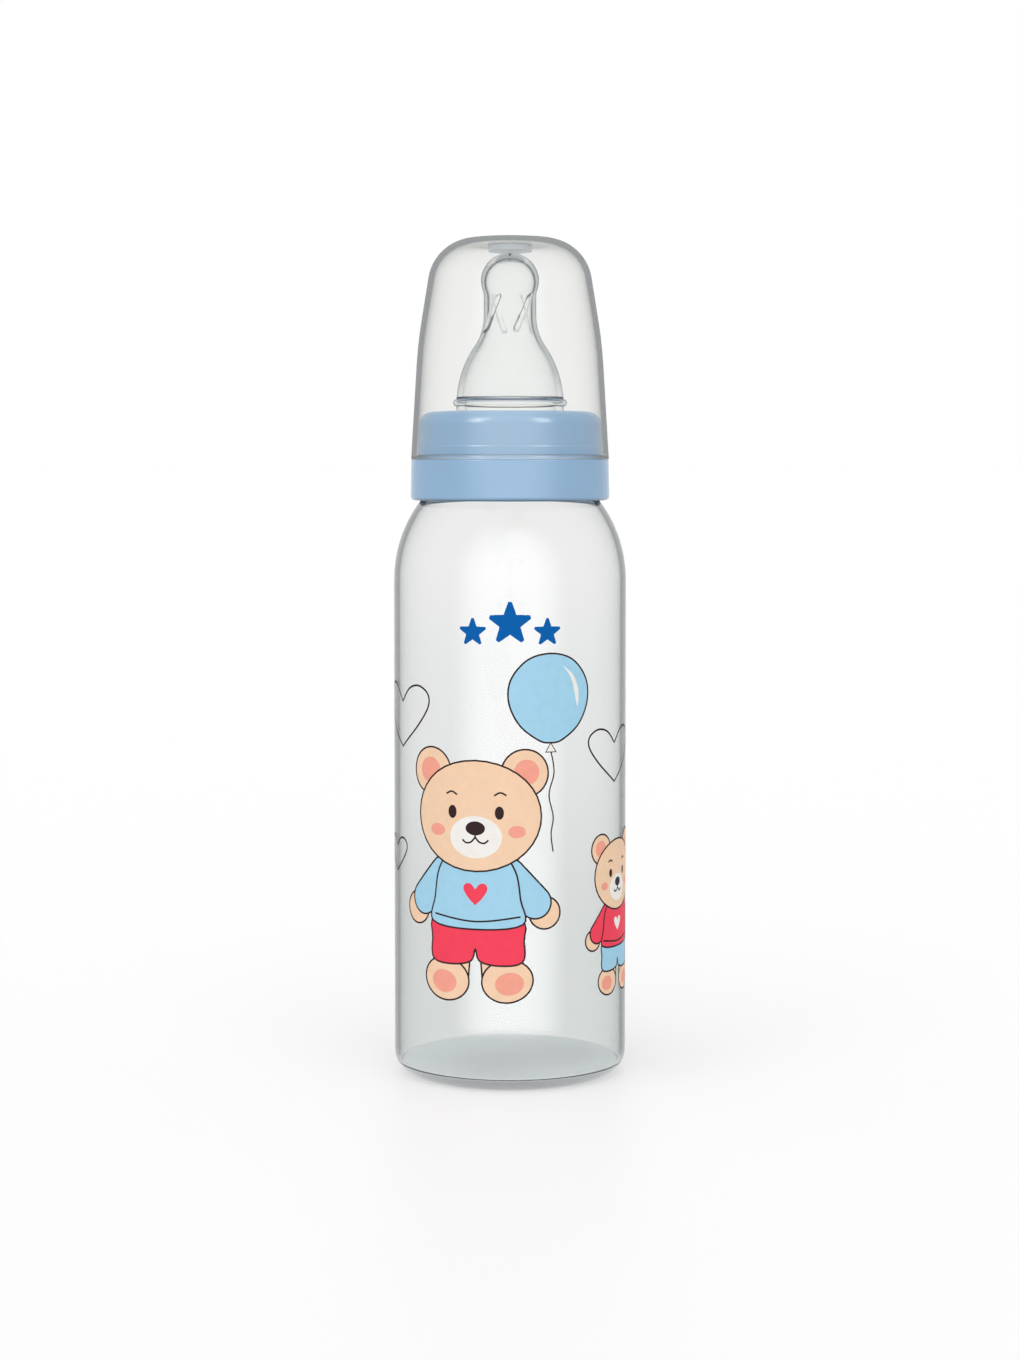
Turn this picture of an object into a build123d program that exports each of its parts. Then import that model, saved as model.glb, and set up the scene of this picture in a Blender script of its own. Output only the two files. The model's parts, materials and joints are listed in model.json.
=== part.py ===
"""Narrow-neck feeding bottle: blown body, screw ring, soft teat and clear push-on hood.

Millimetres, +Z up. The origin is the centre of the foot ring, on the plane that the bottle stands on.
Every piece is turned about the Z axis, so most shapes are half outlines in the XZ plane, revolved.
"""

import math
import os

from build123d import *

# ---- driving dimensions -------------------------------------------------------------------------
BODY_RADIUS = 27.2  # a 54.4 mm body, as on a 250 ml narrow-neck bottle
BODY_WALL = 1.3
FOOT_CORNER = 5.3  # outer corner between the wall and the foot
FOOT_RING_WIDTH = 2.4  # flat ring that touches the table
PUSH_UP = 1.0  # height of the domed underside at the axis
FLOOR_HEIGHT = 3.0  # inner floor
FLOOR_CORNER = 0.8
SHOULDER_START = 115.7  # top of the straight wall
SHOULDER_RADIUS = 31.0
NECK_RADIUS = 17.8
NECK_BORE = 16.0
NECK_FILLET = 1.0
RIM_HEIGHT = 151.4  # top of the neck
RIM_ROUNDING = 0.5
TRANSFER_BEAD_HEIGHT = 140.2
TRANSFER_BEAD_RADIUS = 0.9

THREAD_PITCH = 4.0
THREAD_ROOT_WIDTH = 1.7
THREAD_CREST_WIDTH = 0.9
THREAD_EMBED = 0.35  # how far a ridge reaches into the wall that carries it
BOTTLE_THREAD_CREST = 19.2
BOTTLE_THREAD_START = 144.0
BOTTLE_THREAD_TURNS = 1.5
RING_THREAD_CREST = 18.15
RING_THREAD_DROP = 1.55  # the ring's ridge lies this far under the bottle's ridge when tight
RING_THREAD_LATER = 105.0  # degrees after the bottle's ridge begins
RING_THREAD_TURNS = 1.2

RING_TOP = 155.05
RING_BOTTOM = 134.35
RING_PLATE = 1.8
RING_HOLE = 12.9
RING_TOP_RADIUS = 21.3  # upper section, inside the hood
RING_WAIST_RADIUS = 21.5
RING_SNAP_RADIUS = 21.6  # low bead that the hood clicks over
RING_SNAP_LOW = 145.0
RING_SNAP_HIGH = 146.8
RING_GROOVE_RADIUS = 21.3
RING_GROOVE_FOOT = 21.8  # the groove widens down to the ledge
RING_LEDGE = 143.8  # the hood stands on this ledge
RING_TOP_ROUNDING = 3.2
BAND_TOP_RADIUS = 23.05
BAND_BOTTOM_RADIUS = 23.25
BAND_BOTTOM_ROUNDING = 1.0
BAND_INNER_RADIUS = 21.45
RING_INNER_RADIUS = 19.6

HOOD_BOTTOM = 143.85
HOOD_TOP = 195.45
HOOD_WALL = 1.15
HOOD_FOOT_RADIUS = 23.1
HOOD_WAIST = (21.5, 170.7)  # where the side would turn if it had no curve
HOOD_WAIST_CURVE = 100.0
HOOD_CROWN = (17.55, 195.2)
HOOD_CROWN_CURVE = 11.0
HOOD_BEAD_HEIGHT = 144.4
HOOD_BEAD_RADIUS = 0.4
HOOD_BEAD_INNER = 21.7
BOSS_RADIUS = 5.08
BOSS_GAP = 0.3  # between the teat's tip and the boss

TEAT_BULB_RADIUS = 6.75
TEAT_BULB_CENTRE = 185.45
TEAT_BULB_WALL = 1.1
TEAT_TIP_INSIDE = 190.75
TEAT_NECK_RADIUS = 6.13
TEAT_NECK_WALL = 1.2
TEAT_BLEND = 4.5  # radius of the hollow between bulb and neck
TEAT_INNER_BLEND = 7.0
TEAT_FLARE_TOP = 177.2  # the neck starts to widen below this height
TEAT_FLARE_HOLLOW = 12.5  # radius of the concave stretch
TEAT_FLARE_SWELL = 24.0  # radius of the convex stretch
TEAT_SKIRT_RADIUS = 12.55
TEAT_BEAD_HEIGHT = 157.2
TEAT_BEAD_RADIUS = 0.8
TEAT_FLANGE_RADIUS = 17.3
TEAT_FLANGE_TOP = 153.2
TEAT_FLANGE_BOTTOM = 151.45
TEAT_BASE_BORE = 10.6  # inside the thicker collar at the foot
TEAT_LEDGE_HEIGHT = 158.3  # top of that collar, an inner ledge
FEED_HOLE_RADIUS = 0.3
VENT_AT = 14.2  # distance of the air valve from the axis
VENT_RADIUS = 1.1
VENT_BORE = 0.5
VENT_LENGTH = 1.6
VENT_SKIN = 0.35
VENT_SLIT = (1.0, 0.15)
TEAT_RIB_COUNT = 4
TEAT_RIB_TOP = 181.9
TEAT_RIB_HEIGHT = 8.4
TEAT_RIB_SWEEP = 50.0  # degrees that each slanted rib turns on its way up
TEAT_RIB_WIDTH = 1.3
TEAT_RIB_INNER = 4.45
TEAT_RIB_OUTER = 5.6
TEAT_RIB_FIRST = 185.0  # azimuth of the first rib's lower end

FULL_TURN = 360.0


# ---- helpers ------------------------------------------------------------------------------------
def half_outline(edges):
    """The face on the XZ plane that a closed run of edges bounds."""
    return make_face(Wire(edges))


def turned(face):
    """The solid that a half outline sweeps out about the Z axis."""
    return revolve(face, Axis.Z, FULL_TURN)


def point(radius, height):
    return Vector(radius, 0, height)


def chain(*points):
    """Straight edges through (radius, height) pairs."""
    corners = [point(*p) for p in points]
    return [Edge.make_line(a, b) for a, b in zip(corners, corners[1:])]


def arc(centre, radius, start_degrees, end_degrees):
    """An arc in the XZ plane, from one angle to another about a (radius, height) centre."""

    def on_arc(degrees):
        a = math.radians(degrees)
        return point(centre[0] + radius * math.cos(a), centre[1] + radius * math.sin(a))

    middle = (start_degrees + end_degrees) / 2
    return Edge.make_three_point_arc(on_arc(start_degrees), on_arc(middle), on_arc(end_degrees))


def bead(ring_radius, height, section_radius):
    """A round bead about the Z axis."""
    return Pos(0, 0, height) * Torus(ring_radius, section_radius)


def thread_ridge(wall_radius, crest_radius, start_height, start_degrees, turns):
    """A right-hand ridge of trapezium section, from inside its wall to its crest."""
    inward = -1 if crest_radius > wall_radius else 1
    half_root, half_crest = THREAD_ROOT_WIDTH / 2, THREAD_CREST_WIDTH / 2
    buried = wall_radius + inward * THREAD_EMBED
    section = make_face(
        Polyline(
            point(buried, -half_root),
            point(wall_radius, -half_root),
            point(crest_radius, -half_crest),
            point(crest_radius, half_crest),
            point(wall_radius, half_root),
            point(buried, half_root),
            close=True,
        )
    )
    path = Helix(pitch=THREAD_PITCH, height=THREAD_PITCH * turns, radius=wall_radius)
    ridge = sweep(section, path=path, is_frenet=True)
    return Pos(0, 0, start_height) * Rot(0, 0, start_degrees) * ridge


# ---- bottle body --------------------------------------------------------------------------------
def shoulder_height(radius, surface_radius):
    """Height at which a shoulder arc of surface_radius reaches radius."""
    centre = BODY_RADIUS - SHOULDER_RADIUS
    return SHOULDER_START + math.sqrt(surface_radius**2 - (radius - centre) ** 2)


def shoulder_arc(surface_radius, end_radius):
    """The shoulder from the straight wall up to end_radius, and the point where it ends."""
    centre = (BODY_RADIUS - SHOULDER_RADIUS, SHOULDER_START)
    end_angle = math.degrees(math.acos((end_radius - centre[0]) / surface_radius))
    return arc(centre, surface_radius, 0, end_angle)


def bottle_outer():
    """Everything inside the outer skin, foot ring and push-up included."""
    foot_outer = BODY_RADIUS - FOOT_CORNER
    foot_inner = foot_outer - FOOT_RING_WIDTH
    neck_foot = shoulder_height(NECK_RADIUS, SHOULDER_RADIUS)
    rim_edge = NECK_RADIUS - RIM_ROUNDING
    dome = Edge.make_three_point_arc(
        point(0, PUSH_UP), point(foot_inner / 2, 0.85 * PUSH_UP), point(foot_inner - 1.2, 0.5)
    )
    edges = [
        dome,
        *chain((foot_inner - 1.2, 0.5), (foot_inner, 0), (foot_outer, 0)),
        arc((foot_outer, FOOT_CORNER), FOOT_CORNER, -90, 0),
        *chain((BODY_RADIUS, FOOT_CORNER), (BODY_RADIUS, SHOULDER_START)),
        shoulder_arc(SHOULDER_RADIUS, NECK_RADIUS),
        *chain((NECK_RADIUS, neck_foot), (NECK_RADIUS, RIM_HEIGHT - RIM_ROUNDING)),
        arc((rim_edge, RIM_HEIGHT - RIM_ROUNDING), RIM_ROUNDING, 0, 90),
        *chain((rim_edge, RIM_HEIGHT), (0, RIM_HEIGHT), (0, PUSH_UP)),
    ]
    return turned(half_outline(edges))


def bottle_cavity():
    """The space for the milk, from the floor up through the neck."""
    inner = BODY_RADIUS - BODY_WALL
    bore_foot = shoulder_height(NECK_BORE, SHOULDER_RADIUS - BODY_WALL)
    above = RIM_HEIGHT + 1
    edges = [
        *chain((0, FLOOR_HEIGHT), (inner - FLOOR_CORNER, FLOOR_HEIGHT)),
        arc((inner - FLOOR_CORNER, FLOOR_HEIGHT + FLOOR_CORNER), FLOOR_CORNER, -90, 0),
        *chain((inner, FLOOR_HEIGHT + FLOOR_CORNER), (inner, SHOULDER_START)),
        shoulder_arc(SHOULDER_RADIUS - BODY_WALL, NECK_BORE),
        *chain((NECK_BORE, bore_foot), (NECK_BORE, above), (0, above), (0, FLOOR_HEIGHT)),
    ]
    return turned(half_outline(edges))


def bottle_body():
    body = bottle_outer() - bottle_cavity()
    neck_foot = shoulder_height(NECK_RADIUS, SHOULDER_RADIUS)
    crease = [
        e
        for e in body.edges().filter_by(GeomType.CIRCLE)
        if abs(e.radius - NECK_RADIUS) < 0.01 and abs(e.center().Z - neck_foot) < 0.1
    ]
    body = body.fillet(NECK_FILLET, crease)
    body += bead(NECK_RADIUS, TRANSFER_BEAD_HEIGHT, TRANSFER_BEAD_RADIUS)
    body += thread_ridge(
        NECK_RADIUS, BOTTLE_THREAD_CREST, BOTTLE_THREAD_START, 0, BOTTLE_THREAD_TURNS
    )
    return body


# ---- screw ring ---------------------------------------------------------------------------------
def ring_shell():
    """The ring without its thread."""
    top_edge, plate_foot = RING_TOP_RADIUS - RING_TOP_ROUNDING, RING_TOP - RING_PLATE
    band_corner = BAND_BOTTOM_RADIUS - BAND_BOTTOM_ROUNDING
    step_foot, step_top = RING_LEDGE - 2.4, RING_LEDGE - 1.2
    lip, bevel = 0.4, 0.2
    edges = [
        *chain((RING_HOLE + lip, RING_TOP), (top_edge, RING_TOP)),
        arc((top_edge, RING_TOP - RING_TOP_ROUNDING), RING_TOP_ROUNDING, 90, 0),
        *chain(
            (RING_TOP_RADIUS, RING_TOP - RING_TOP_ROUNDING),
            (RING_WAIST_RADIUS, RING_SNAP_HIGH + bevel),
            (RING_SNAP_RADIUS, RING_SNAP_HIGH),
            (RING_SNAP_RADIUS, RING_SNAP_LOW + bevel),
            (RING_GROOVE_RADIUS, RING_SNAP_LOW),
            (RING_GROOVE_FOOT, RING_LEDGE),
            (BAND_TOP_RADIUS - bevel, RING_LEDGE),
            (BAND_TOP_RADIUS, RING_LEDGE - bevel),
            (BAND_BOTTOM_RADIUS, RING_BOTTOM + BAND_BOTTOM_ROUNDING),
        ),
        arc((band_corner, RING_BOTTOM + BAND_BOTTOM_ROUNDING), BAND_BOTTOM_ROUNDING, 0, -90),
        *chain(
            (band_corner, RING_BOTTOM),
            (BAND_INNER_RADIUS + 0.3, RING_BOTTOM),
            (BAND_INNER_RADIUS, RING_BOTTOM + 0.3),
            (BAND_INNER_RADIUS, step_foot),
            (RING_INNER_RADIUS, step_top),
            (RING_INNER_RADIUS, plate_foot),
            (RING_HOLE, plate_foot),
            (RING_HOLE, RING_TOP - lip),
        ),
        arc((RING_HOLE + lip, RING_TOP - lip), lip, 180, 90),
    ]
    return turned(half_outline(edges))


def screw_ring():
    start = BOTTLE_THREAD_START + THREAD_PITCH * RING_THREAD_LATER / FULL_TURN - RING_THREAD_DROP
    return ring_shell() + thread_ridge(
        RING_INNER_RADIUS, RING_THREAD_CREST, start, RING_THREAD_LATER, RING_THREAD_TURNS
    )


# ---- teat ---------------------------------------------------------------------------------------
def flare_angle():
    """Steepest lean of the flare from upright, where its two arcs meet, in degrees."""
    drop = TEAT_SKIRT_RADIUS - TEAT_NECK_RADIUS
    return math.degrees(math.acos(1 - drop / (TEAT_FLARE_HOLLOW + TEAT_FLARE_SWELL)))


def flare(wall):
    """The two arcs of the flare, from the neck down, drawn wall millimetres inside the skin."""
    lean = flare_angle()
    hollow = (TEAT_NECK_RADIUS + TEAT_FLARE_HOLLOW, TEAT_FLARE_TOP)
    run = (TEAT_FLARE_HOLLOW + TEAT_FLARE_SWELL) * math.sin(math.radians(lean))
    swell = (TEAT_SKIRT_RADIUS - TEAT_FLARE_SWELL, TEAT_FLARE_TOP - run)
    return [
        arc(hollow, TEAT_FLARE_HOLLOW + wall, 180, 180 + lean),
        arc(swell, TEAT_FLARE_SWELL - wall, lean, 0),
    ]


def bulb_and_neck(bulb_radius, bulb_centre, neck_radius, blend):
    """Edges from the bulb's top down its side and round a blend onto the neck."""
    reach = bulb_radius + blend
    drop = math.sqrt(reach**2 - (neck_radius + blend) ** 2)
    lean = math.degrees(math.atan2(drop, neck_radius + blend))
    blend_centre = (neck_radius + blend, bulb_centre - drop)
    return [
        arc((0, bulb_centre), bulb_radius, 90, -lean),
        arc(blend_centre, blend, 180 - lean, 180),
        *chain((neck_radius, bulb_centre - drop), (neck_radius, TEAT_FLARE_TOP)),
    ]


def teat_outer():
    swell = flare(0)
    skirt_foot = swell[-1].position_at(1).Z
    tip = TEAT_BULB_CENTRE + TEAT_BULB_RADIUS
    edges = [
        *bulb_and_neck(TEAT_BULB_RADIUS, TEAT_BULB_CENTRE, TEAT_NECK_RADIUS, TEAT_BLEND),
        *swell,
        *chain(
            (TEAT_SKIRT_RADIUS, skirt_foot),
            (TEAT_SKIRT_RADIUS, TEAT_FLANGE_TOP),
            (TEAT_FLANGE_RADIUS, TEAT_FLANGE_TOP),
            (TEAT_FLANGE_RADIUS, TEAT_FLANGE_BOTTOM),
            (0, TEAT_FLANGE_BOTTOM),
            (0, tip),
        ),
    ]
    return turned(half_outline(edges)) + bead(
        TEAT_SKIRT_RADIUS - 0.05, TEAT_BEAD_HEIGHT, TEAT_BEAD_RADIUS
    )


def teat_cavity():
    inner_bulb = TEAT_BULB_RADIUS - TEAT_BULB_WALL
    inner_centre = TEAT_TIP_INSIDE - inner_bulb
    inner_neck = TEAT_NECK_RADIUS - TEAT_NECK_WALL
    below = TEAT_FLANGE_BOTTOM - 1
    swell = flare(TEAT_NECK_WALL)
    skirt = swell[-1].position_at(1)
    edges = [
        *bulb_and_neck(inner_bulb, inner_centre, inner_neck, TEAT_INNER_BLEND),
        *swell,
        *chain((skirt.X, skirt.Z), (skirt.X, below), (0, below), (0, TEAT_TIP_INSIDE)),
    ]
    return turned(half_outline(edges)) - base_collar()


def base_collar():
    """The thicker foot of the teat, whose top is a ledge inside."""
    height = TEAT_LEDGE_HEIGHT - TEAT_FLANGE_BOTTOM
    low = Align.CENTER, Align.CENTER, Align.MIN
    collar = Cylinder(TEAT_SKIRT_RADIUS, height, align=low) - Cylinder(TEAT_BASE_BORE, height, align=low)
    return Pos(0, 0, TEAT_FLANGE_BOTTOM) * collar


def teat_rib(azimuth):
    """One slanted rib on the inside of the neck, which stops the neck from collapsing."""
    half = TEAT_RIB_WIDTH / 2
    bottom = TEAT_RIB_TOP - TEAT_RIB_HEIGHT
    section = Plane.XY * Pos((TEAT_RIB_INNER + TEAT_RIB_OUTER) / 2, 0) * Rectangle(
        TEAT_RIB_OUTER - TEAT_RIB_INNER, 2 * half
    )
    pitch = TEAT_RIB_HEIGHT * FULL_TURN / TEAT_RIB_SWEEP
    path = Helix(pitch=pitch, height=TEAT_RIB_HEIGHT, radius=TEAT_RIB_OUTER)
    rib = sweep(section, path=path, is_frenet=True)
    return Pos(0, 0, bottom) * Rot(0, 0, azimuth) * rib


def air_valve(body):
    """The flange with its air valve: a nub under it, a blind bore and a slit in the skin."""
    nub_foot = TEAT_FLANGE_BOTTOM - VENT_LENGTH
    at = Pos(0, VENT_AT, nub_foot)
    low = Align.CENTER, Align.CENTER, Align.MIN
    body += at * Cylinder(VENT_RADIUS, VENT_LENGTH + 0.5, align=low)
    body -= Pos(0, VENT_AT, nub_foot + VENT_SKIN) * Cylinder(VENT_BORE, 10, align=low)
    return body - at * Box(*VENT_SLIT, 1, align=(Align.CENTER, Align.CENTER, Align.CENTER))


def teat():
    body = teat_outer() - teat_cavity()
    for index in range(TEAT_RIB_COUNT):
        body += teat_rib(TEAT_RIB_FIRST + index * FULL_TURN / TEAT_RIB_COUNT)
    body = air_valve(body)
    low = Align.CENTER, Align.CENTER, Align.MIN
    return body - Pos(0, 0, TEAT_TIP_INSIDE - 1) * Cylinder(FEED_HOLE_RADIUS, 5, align=low)


# ---- hood ---------------------------------------------------------------------------------------
def hood_skin(inset, foot):
    """The solid inside the hood's outer skin, drawn inset millimetres smaller."""
    crown = (HOOD_CROWN[0] - inset, HOOD_CROWN[1] - inset)
    path = FilletPolyline(
        point(HOOD_FOOT_RADIUS - inset, foot),
        point(HOOD_WAIST[0] - inset, HOOD_WAIST[1]),
        point(*crown),
        point(0, HOOD_TOP - inset),
        radius=[HOOD_WAIST_CURVE - inset, HOOD_CROWN_CURVE - inset],
    )
    closing = chain((0, HOOD_TOP - inset), (0, foot), (HOOD_FOOT_RADIUS - inset, foot))
    return turned(half_outline([*path.edges(), *closing]))


def hood_cap():
    shell = hood_skin(0, HOOD_BOTTOM) - hood_skin(HOOD_WALL, HOOD_BOTTOM)
    boss_bottom = TEAT_BULB_CENTRE + TEAT_BULB_RADIUS + BOSS_GAP
    boss_height = HOOD_TOP - HOOD_WALL / 2 - boss_bottom
    low = Align.CENTER, Align.CENTER, Align.MIN
    boss = Pos(0, 0, boss_bottom) * Cylinder(BOSS_RADIUS, boss_height, align=low)
    snap = bead(HOOD_BEAD_INNER + HOOD_BEAD_RADIUS, HOOD_BEAD_HEIGHT, HOOD_BEAD_RADIUS)
    return shell + boss + snap


# ---- export -------------------------------------------------------------------------------------
PIECES = {
    "bottle_body": bottle_body,
    "screw_ring": screw_ring,
    "teat": teat,
    "hood_cap": hood_cap,
}

os.makedirs("parts", exist_ok=True)
for name, make in PIECES.items():
    export_step(make(), f"parts/{name}.step")
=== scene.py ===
"""Looks of the narrow-neck feeding bottle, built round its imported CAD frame.

The clear pieces are turned again here as fine closed skins, so that what is behind them bends smoothly.
Outlines and the printed decoration are in millimetres and become metres when a mesh is made. +Z is up and
the printed side faces -Y, towards the camera.
"""

import json
import math

import bmesh
import bpy
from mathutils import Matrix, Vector


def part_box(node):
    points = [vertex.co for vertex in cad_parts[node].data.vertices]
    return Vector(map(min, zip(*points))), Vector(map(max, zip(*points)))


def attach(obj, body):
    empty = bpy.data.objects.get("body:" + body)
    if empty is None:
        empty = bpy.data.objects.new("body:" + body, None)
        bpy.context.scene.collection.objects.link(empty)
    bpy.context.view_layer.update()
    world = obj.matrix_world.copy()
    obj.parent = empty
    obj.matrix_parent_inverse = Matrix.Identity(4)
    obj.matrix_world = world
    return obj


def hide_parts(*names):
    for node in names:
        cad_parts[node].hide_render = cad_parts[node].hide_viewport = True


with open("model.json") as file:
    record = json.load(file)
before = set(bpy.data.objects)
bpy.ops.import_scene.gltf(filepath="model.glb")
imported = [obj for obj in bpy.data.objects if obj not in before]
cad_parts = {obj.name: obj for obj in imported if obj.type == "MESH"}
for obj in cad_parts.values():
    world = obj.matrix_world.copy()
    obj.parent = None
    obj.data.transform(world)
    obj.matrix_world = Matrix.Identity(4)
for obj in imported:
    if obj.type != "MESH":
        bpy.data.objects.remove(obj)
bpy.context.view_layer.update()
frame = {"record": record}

MM = 0.001
SEGMENTS = 288  # round the axis
ARC_STEP = 3.0  # degrees between points on a rounded stretch
SHARP_FROM = 38  # degrees between two faces from which their edge is shaded sharp
HOLD = 0.4  # how far inside the ends of a straight stretch the points lie that keep its shading straight

# ---- dimensions shared with the CAD, in millimetres -----------------------------------------------
BODY_RADIUS = frame["record"]["mounts"][1]["dims"]["r_mm"]
SKIN_GAP = 0.05  # the ink films lie in this depth, inside the CAD radius
BODY_WALL = 1.3
FOOT_CORNER = 5.3
FOOT_RING_WIDTH = 2.4
FOOT_STEP = (1.2, 0.5)  # width and height of the slope from the foot ring up to the dome
PUSH_UP = 1.0  # height of the domed underside at the axis
DOME_STEPS = 24
FLOOR_HEIGHT = 3.0
FLOOR_CORNER = 0.8
FLOOR_RINGS = (18.0, 12.0, 6.0, 0)  # radii of the points on the flat floor, inwards
SHOULDER_START = 115.7
SHOULDER_RADIUS = 31.0
NECK_RADIUS = 17.8
NECK_BEND = 0.5  # the shoulder bends into the neck this far out from it
NECK_BEND_POINT = (0.12, 0.42)  # the one point on that bend: out from the neck, up from the shoulder's end
NECK_BORE = 16.0
NECK_BORE_POINT = 141.0  # height of a point on the straight bore
BORE_ROUNDING = 0.4
RIM_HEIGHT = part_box("bottle_body")[1][2] / MM
RIM_ROUNDING = 0.5
TRANSFER_BEAD = (17.8, 140.2, 0.9)  # ring radius, height, section radius

THREAD_PITCH = 4.0
THREAD_ROOT = 1.7  # width of a ridge where it meets its wall
THREAD_CREST = 0.9  # width of its crest
THREAD_RUN_IN = 12  # degrees over which a ridge rises at either end
THREAD_STEP = 0.2  # height between rings of points on a wall that carries a ridge
NECK_THREADED_FROM = 142.0  # lowest of those rings on the neck
NECK_THREAD_START = 144.0
RING_THREAD_DROP = 1.55  # the ring's ridge lies this far under the bottle's ridge when tight
RING_THREAD_LATER = 105.0  # degrees from the start of the bottle's ridge to the start of the ring's
RING_THREAD_RISE = THREAD_PITCH * RING_THREAD_LATER / 360
RING_THREAD_START = round(NECK_THREAD_START - RING_THREAD_DROP + RING_THREAD_RISE, 3)
BOTTLE_THREAD = dict(crest=19.2, start=NECK_THREAD_START, first=0.0, turns=1.5)
RING_THREAD = dict(crest=18.15, start=RING_THREAD_START, first=RING_THREAD_LATER, turns=1.2)

RING_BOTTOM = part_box("screw_ring")[0][2] / MM
RING_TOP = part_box("screw_ring")[1][2] / MM
RING_PLATE = 1.8
RING_SEAT_RADIUS = 17.5  # on the plate's underside, just outside the teat's flange
RING_HOLE = 12.9
RING_LIP = 0.4  # rounding of the hole's upper edge
RING_TOP_RADIUS = 21.3
RING_WAIST_RADIUS = 21.5
RING_SNAP = (21.6, 145.0, 146.8)  # radius, low edge, high edge
RING_SNAP_SLOPES = (0.2, 0.3)  # height of the bead's slope under its low edge, and over its high edge
RING_GROOVE_RADIUS = 21.3
RING_GROOVE_FOOT = 21.8
RING_LEDGE = 143.8
RING_TOP_ROUNDING = 3.2
BAND_TOP_RADIUS = 23.05
BAND_BOTTOM_RADIUS = 23.25
BAND_ROUNDING = 1.0
BAND_INNER_RADIUS = 21.45
BAND_NARROWS = (2.4, 1.2)  # depths under the ledge between which the inside narrows to the threaded bore
RING_INNER_RADIUS = 19.6
RING_THREADED_FROM = 142.8  # lowest ring of points on the threaded bore

HOOD_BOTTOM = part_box("hood_cap")[0][2] / MM
HOOD_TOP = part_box("hood_cap")[1][2] / MM
HOOD_WALL = 1.15
HOOD_FOOT_RADIUS = 23.1
HOOD_WAIST = (21.5, 170.7)  # radius and height where the side would turn if it had no curve
HOOD_WAIST_CURVE = 100.0
HOOD_CROWN = (17.55, 195.2)  # the same, where the side would meet the top
HOOD_CROWN_CURVE = 11.0
HOOD_BEAD = (22.1, 144.4, 0.4)  # ring radius, height, section radius
HOOD_SIDE_POINT = 145.0  # height of a point on the outside, over the foot's rounding
BOSS_RADIUS = 5.08
BOSS_GAP = 0.3  # between the teat's tip and the boss
BOSS_BLEND = 0.4  # how far from the boss its rounding into the ceiling may reach

TEAT_BULB = (6.75, 185.45)  # radius, height of its centre
TEAT_BULB_WALL = 1.1
TEAT_TIP_INSIDE = 190.75
TEAT_NECK_RADIUS = 6.13
TEAT_NECK_WALL = 1.2
TEAT_BLEND = 4.5  # radius of the hollow between bulb and neck
TEAT_INNER_BLEND = 7.0  # the same, inside
TEAT_FLARE_TOP = 177.2
TEAT_FLARE_HOLLOW = 12.5  # radius of the flare's hollow stretch
TEAT_FLARE_SWELL = 24.0  # radius of its swelling stretch
TEAT_SKIRT_RADIUS = 12.55
TEAT_BEAD = (12.5, 157.2, 0.8)  # ring radius, height, section radius
TEAT_FLANGE = (17.3, 151.45, 153.2)  # radius, underside, top
TEAT_BASE_BORE = 10.6
TEAT_BORE_POINTS = (153.0, 157.5)  # heights of the lowest and highest point on that straight bore
TEAT_LEDGE_HEIGHT = 158.3  # top of the thick collar, inside
TEAT_LEDGE_BLEND = (0.04, 0.4)  # from the end of the flare to that ledge: out, and down
TEAT_MID_WALL = TEAT_NECK_RADIUS - TEAT_NECK_WALL / 2  # tells the neck's inside from its outside
FEED_HOLE_RADIUS = 0.3
TEAT_RIBS = dict(
    count=4,
    first=197.0,  # azimuth of the first rib's lower end
    sweep=40.0,  # degrees that a rib turns on its way up
    low=174.1,
    high=181.3,
    width=1.5,
    depth=0.42,
    slope=0.22,  # width over which a side rises
)
TEAT_RIB_STEP = 0.12  # height between rings of points where the ribs stand
TEAT_RIB_MARGIN = 1.0  # above and below the ribs


# ---- outlines -----------------------------------------------------------------------------------
def arc(centre, radius, start, end):
    """Points on an arc in the (radius, height) plane, its ends included."""
    steps = max(3, math.ceil(abs(end - start) / ARC_STEP))
    angles = [math.radians(start + (end - start) * i / steps) for i in range(steps + 1)]
    return [(centre[0] + radius * math.cos(a), centre[1] + radius * math.sin(a)) for a in angles]


def run(start, end, step):
    """Points from start to end, both included, about step apart."""
    count = max(1, round(math.dist(start, end) / step))
    return [tuple(a + (b - a) * i / count for a, b in zip(start, end)) for i in range(count + 1)]


def held(start, end):
    """Points just inside both ends of a straight stretch, which keep its smooth shading straight."""
    a, b = Vector(start), Vector(end)
    step = (b - a).normalized() * HOLD
    return [tuple(a + step), tuple(b - step)]


def rounded(points, radii):
    """A polyline with all corners but its ends rounded, as arcs. radii are in the order of those corners."""
    path = [points[0]]
    for before, corner, after, radius in zip(points, points[1:], points[2:], radii):
        a, b, c = Vector(before), Vector(corner), Vector(after)
        into, out = (b - a).normalized(), (c - b).normalized()
        turn = into.angle_signed(out)  # positive is clockwise
        reach = radius * math.tan(abs(turn) / 2)
        side = Vector((into.y, -into.x)) * math.copysign(1, turn)
        centre = b - into * reach + side * radius
        begin = math.degrees(math.atan2(-side.y, -side.x))
        path += arc(centre, radius, begin, begin - math.degrees(turn))
    return [*path, points[-1]]


def bump_out(ring_radius, height, section, wall):
    """A round bead's outline where it stands out of a wall, from the bottom up."""
    half = math.degrees(math.acos((wall - ring_radius) / section))
    return arc((ring_radius, height), section, -half, half)


def bump_in(ring_radius, height, section, wall):
    """A round bead's outline where it stands in from a wall, from the top down."""
    half = math.degrees(math.acos((ring_radius - wall) / section))
    return arc((ring_radius, height), section, 180 - half, 180 + half)


def shoulder(skin, end_radius):
    """The shoulder arc at a depth of skin under the outside, up to end_radius."""
    centre = (BODY_RADIUS - SHOULDER_RADIUS, SHOULDER_START)
    radius = SHOULDER_RADIUS - skin
    return arc(centre, radius, 0, math.degrees(math.acos((end_radius - centre[0]) / radius)))


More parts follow.
